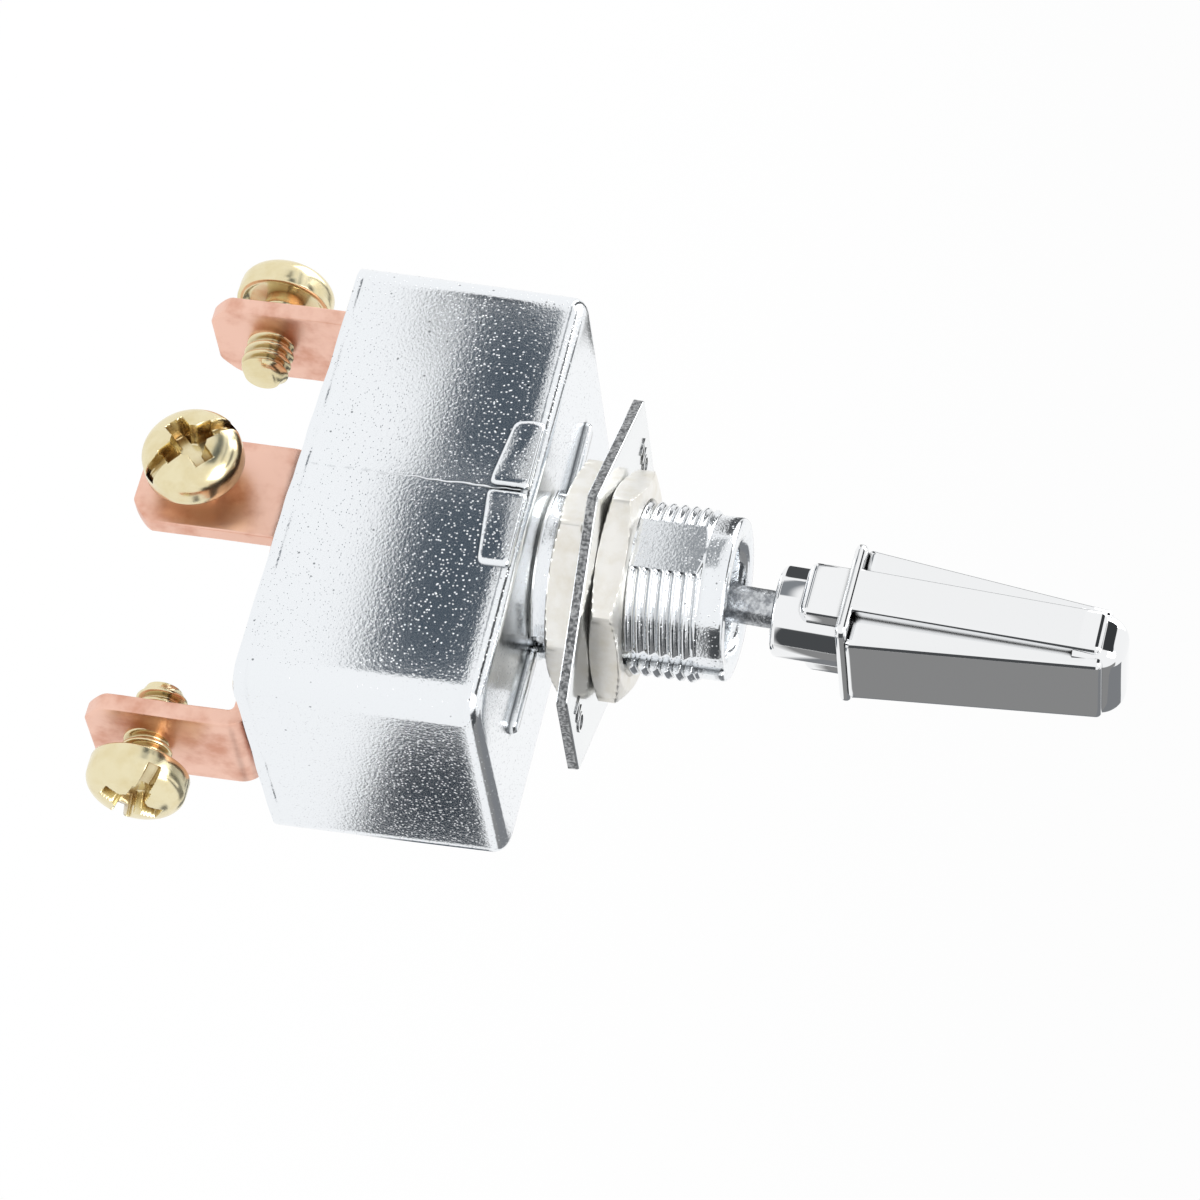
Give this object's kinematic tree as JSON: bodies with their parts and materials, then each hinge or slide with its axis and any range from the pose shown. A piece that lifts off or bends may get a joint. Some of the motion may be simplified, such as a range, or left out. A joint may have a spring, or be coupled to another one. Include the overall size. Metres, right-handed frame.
{
  "type": "panel toggle switch",
  "caption": "Heavy-duty panel toggle switch: a metal box with screw terminals behind, a threaded bushing with nuts and an indicator plate, and a tapered metal paddle handle.",
  "frame": {"origin": "on the bushing's axis, in the plane of the housing's front face, where the panel side begins", "axes": "+Z along the bushing out of the panel and up the handle; X along the housing's long side, the plane in which the lever swings; the middle terminal is on the -Y side and the keyway faces +X"},
  "size_m": [0.0444, 0.0215, 0.0679],
  "materials": {
    "die_cast_zinc": "bright zinc plate on a pebbled die casting",
    "phenolic_base": "moulded phenolic, dull",
    "fibre_liner": "grey-brown vulcanised fibre sheet",
    "copper": "rolled copper strip, lightly burnished",
    "brass": "turned and cold-headed yellow brass",
    "silver": "silver contact face",
    "steel": "turned steel",
    "chrome": "bright chrome on a zinc casting",
    "nickel": "warm satin nickel plate",
    "plate_zinc": "bright zinc plate on stamped sheet"
  },
  "bodies": {
    "body": {"housing": "die_cast_zinc", "base_insulator": "phenolic_base", "insulating_liner": "fibre_liner", "terminal_left": "copper", "terminal_right": "copper", "terminal_middle": "copper", "screw_left": "brass", "screw_right": "brass", "screw_middle": "brass", "contact_left": "copper", "contact_right": "copper", "centre_rivet": "copper", "fulcrum": "copper", "rocker_pin": "steel", "lever_pin": "steel", "rear_nut": "nickel", "indicator_plate": "plate_zinc", "front_nut": "nickel"},
    "lever": {"lever": "steel", "handle": "chrome", "plunger_spring": "steel"},
    "plunger": {"plunger": "brass"},
    "rocker": {"rocker": "copper", "rocker_tip_left": "silver", "rocker_tip_right": "silver"}
  },
  "joints": [
    {"name": "lever_tilt", "type": "hinge", "parent": "body", "child": "lever", "pos_m": [0, 0, 0.0057], "axis": [0, 1, 0], "range_deg": [-16.2, 11.8]},
    {"name": "plunger_slide", "type": "slide", "parent": "lever", "child": "plunger", "axis": [0.0384, 0, 0.9993], "range_m": [0, 0.0008], "stiffness_N_per_m": 50, "springref_m": -0.0006, "deforming": ["plunger_spring"]},
    {"name": "rocker_tilt", "type": "hinge", "parent": "body", "child": "rocker", "pos_m": [0, 0, -0.0094], "axis": [0, 1, 0], "range_deg": [-6.8, 9.3]}
  ],
  "couplings": [
    {"joint": "rocker_tilt", "follows": "lever_tilt", "ratio": -0.57}
  ]
}
